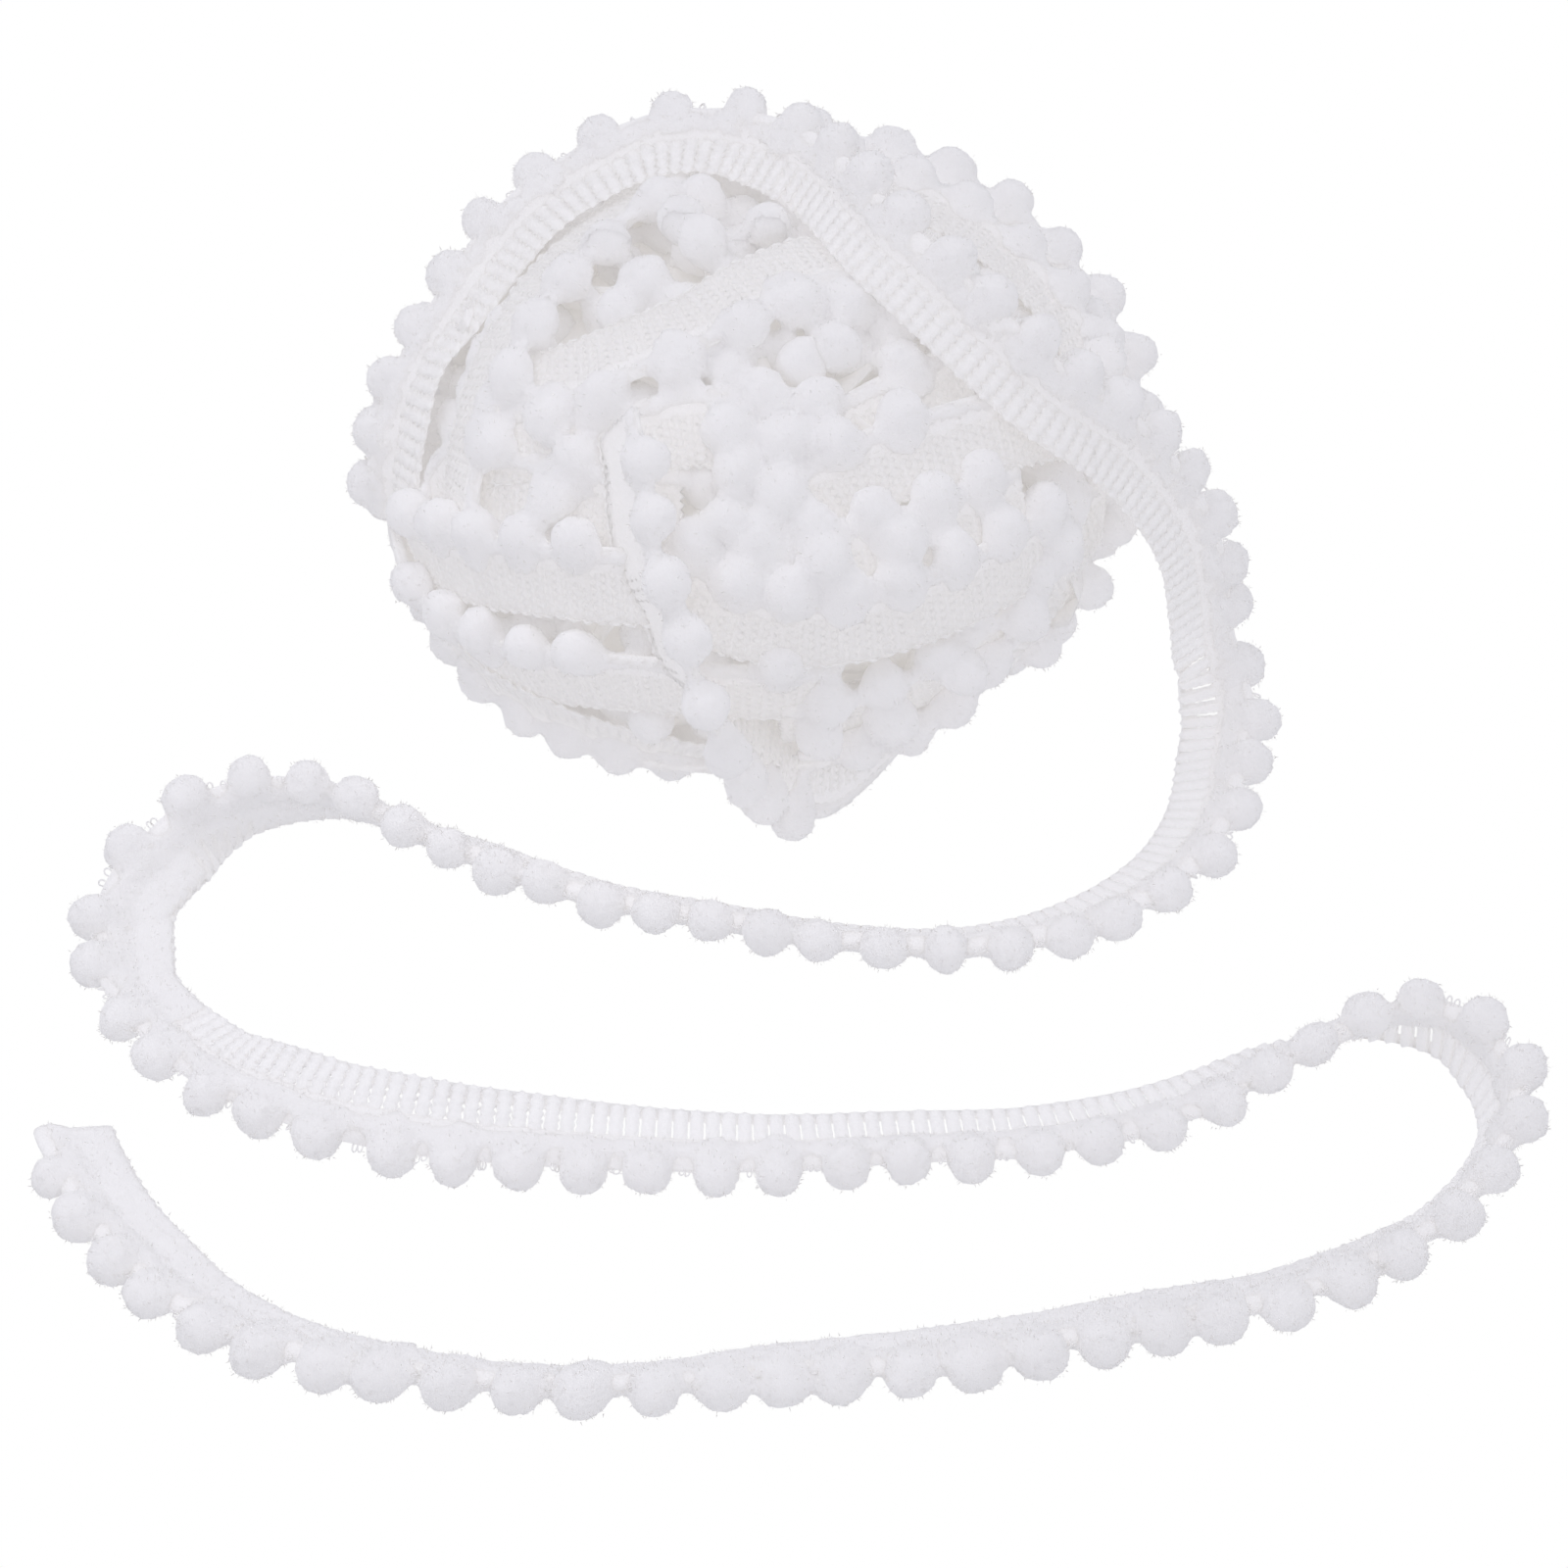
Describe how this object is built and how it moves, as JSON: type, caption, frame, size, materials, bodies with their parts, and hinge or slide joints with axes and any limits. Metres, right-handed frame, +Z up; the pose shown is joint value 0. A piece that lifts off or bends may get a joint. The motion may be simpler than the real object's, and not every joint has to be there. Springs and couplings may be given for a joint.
{
  "type": "pompom fringe trim",
  "caption": "White pompom fringe trim wound into a loose ball, its free end drawn out in an S: a ribbed braid with a smooth yarn band that carries a row of small pompoms.",
  "frame": {"origin": "middle of the flat spot on which the wound ball rests", "axes": "+Z up, +Y towards the back, +X to the right; the drawn-out end lies on the -Y side"},
  "size_m": [0.236, 0.2494, 0.1032],
  "materials": {
    "braid": "white braided yarn with a soft lustre",
    "pompoms": "white cut yarn, matt and velvety"
  },
  "bodies": {
    "root": {"tail_heading": "braid", "pompom_edge_01": "pompoms", "pompom_edge_02": "pompoms", "pompom_edge_03": "pompoms", "pompom_edge_04": "pompoms", "pompom_edge_05": "pompoms", "pompom_edge_06": "pompoms", "pompom_edge_07": "pompoms", "pompom_edge_08": "pompoms", "pompom_edge_09": "pompoms", "pompom_edge_10": "pompoms", "pompom_edge_11": "pompoms", "pompom_edge_12": "pompoms", "pompom_edge_13": "pompoms", "pompom_edge_14": "pompoms", "pompom_edge_15": "pompoms", "pompom_edge_16": "pompoms", "pompom_edge_17": "pompoms", "wound_ball": "braid"}
  },
  "joints": []
}
